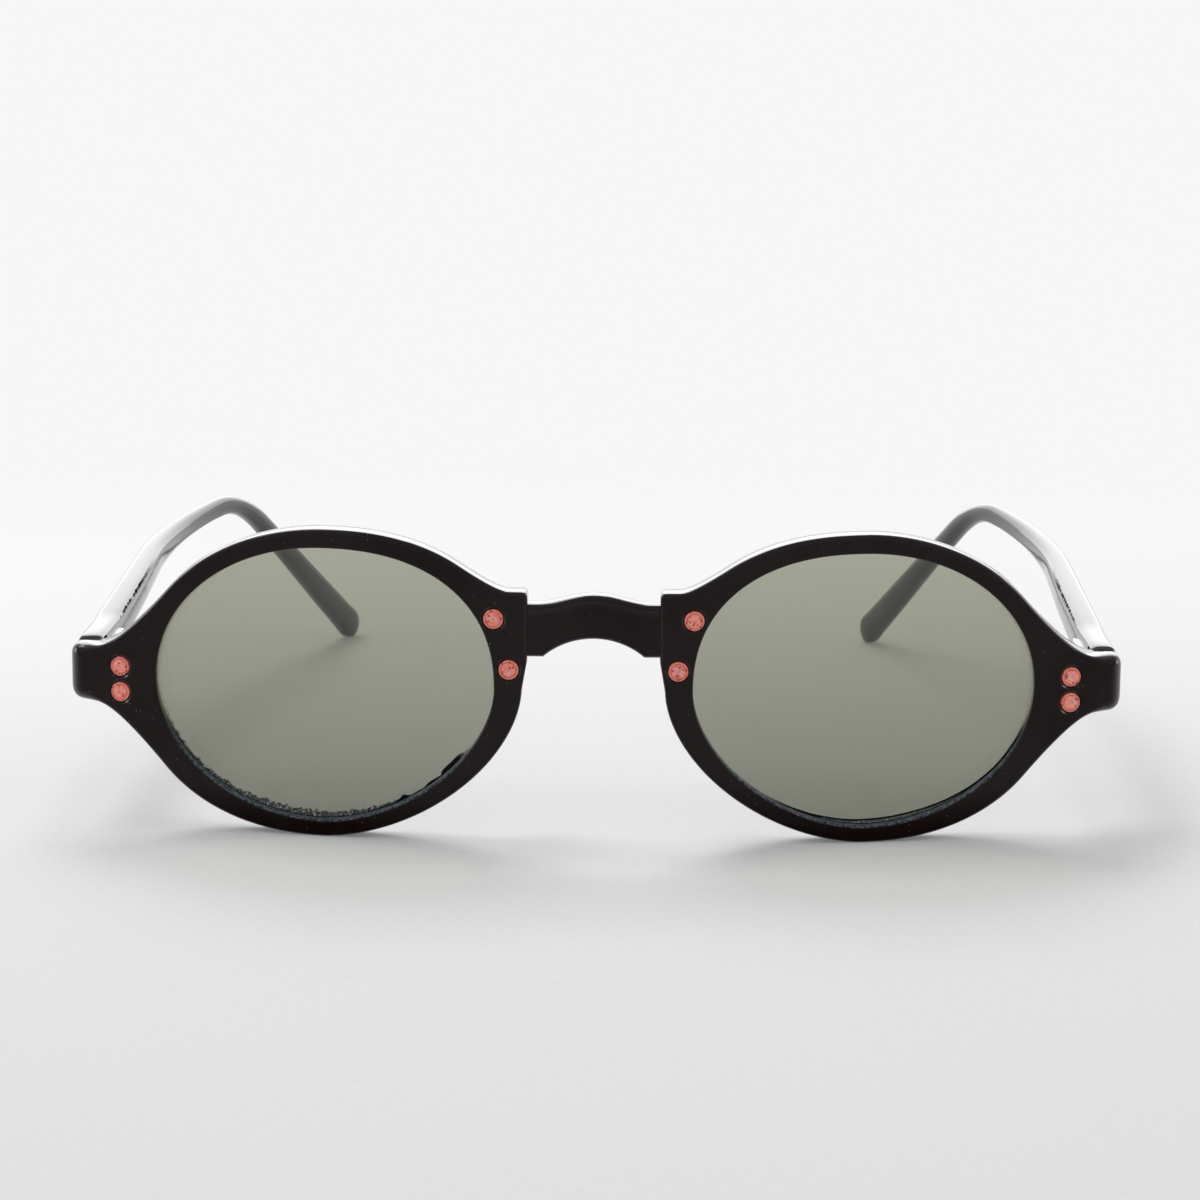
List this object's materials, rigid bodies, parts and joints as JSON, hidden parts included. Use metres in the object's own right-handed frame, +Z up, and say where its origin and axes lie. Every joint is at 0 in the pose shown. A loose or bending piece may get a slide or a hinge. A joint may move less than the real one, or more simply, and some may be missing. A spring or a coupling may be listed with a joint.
{
  "type": "oval sunglasses",
  "caption": "Black plastic sunglasses with oval grey-green lenses, a set-back arched bridge, riveted hinges and slim folding temples with bent-down tips.",
  "frame": {"origin": "on the surface that the glasses stand on, under the middle of the overall box with both temples open", "axes": "+X towards the wearer's left ear, +Y back along the temples, +Z up"},
  "size_m": [0.138, 0.1398, 0.0405],
  "materials": {
    "black_plastic": "polished black with fine handling scratches",
    "temple_plastic": "polished black, softly rounded",
    "lens_tint": "clear grey-green tint",
    "rivet_copper": "salmon copper, polished flush with fine rings",
    "hinge_steel": "bright nickel",
    "screw_steel": "polished",
    "core_wire": "plain drawn wire, sealed inside the temple"
  },
  "bodies": {
    "front": {"front_frame": "black_plastic", "nose_pad_left": "black_plastic", "nose_pad_right": "black_plastic", "lens_left": "lens_tint", "lens_right": "lens_tint", "nose_rivets_left": "rivet_copper", "nose_rivets_right": "rivet_copper", "end_rivets_left": "rivet_copper", "end_rivets_right": "rivet_copper", "hinge_front_leaf_left": "hinge_steel", "hinge_front_leaf_right": "hinge_steel", "hinge_screw_left": "screw_steel", "hinge_screw_right": "screw_steel"},
    "left_temple": {"temple_left": "temple_plastic", "hinge_temple_leaf_left": "hinge_steel", "temple_rivets_left": "rivet_copper", "temple_core_left": "core_wire"},
    "right_temple": {"temple_right": "temple_plastic", "hinge_temple_leaf_right": "hinge_steel", "temple_rivets_right": "rivet_copper", "temple_core_right": "core_wire"}
  },
  "joints": [
    {"name": "left_fold", "type": "hinge", "parent": "front", "child": "left_temple", "pos_m": [0.06285, -0.05337, 0.01995], "axis": [0, 0, 1], "range_deg": [0, 83]},
    {"name": "right_fold", "type": "hinge", "parent": "front", "child": "right_temple", "pos_m": [-0.06285, -0.05337, 0.01995], "axis": [0, 0, -1], "range_deg": [0, 74]}
  ]
}
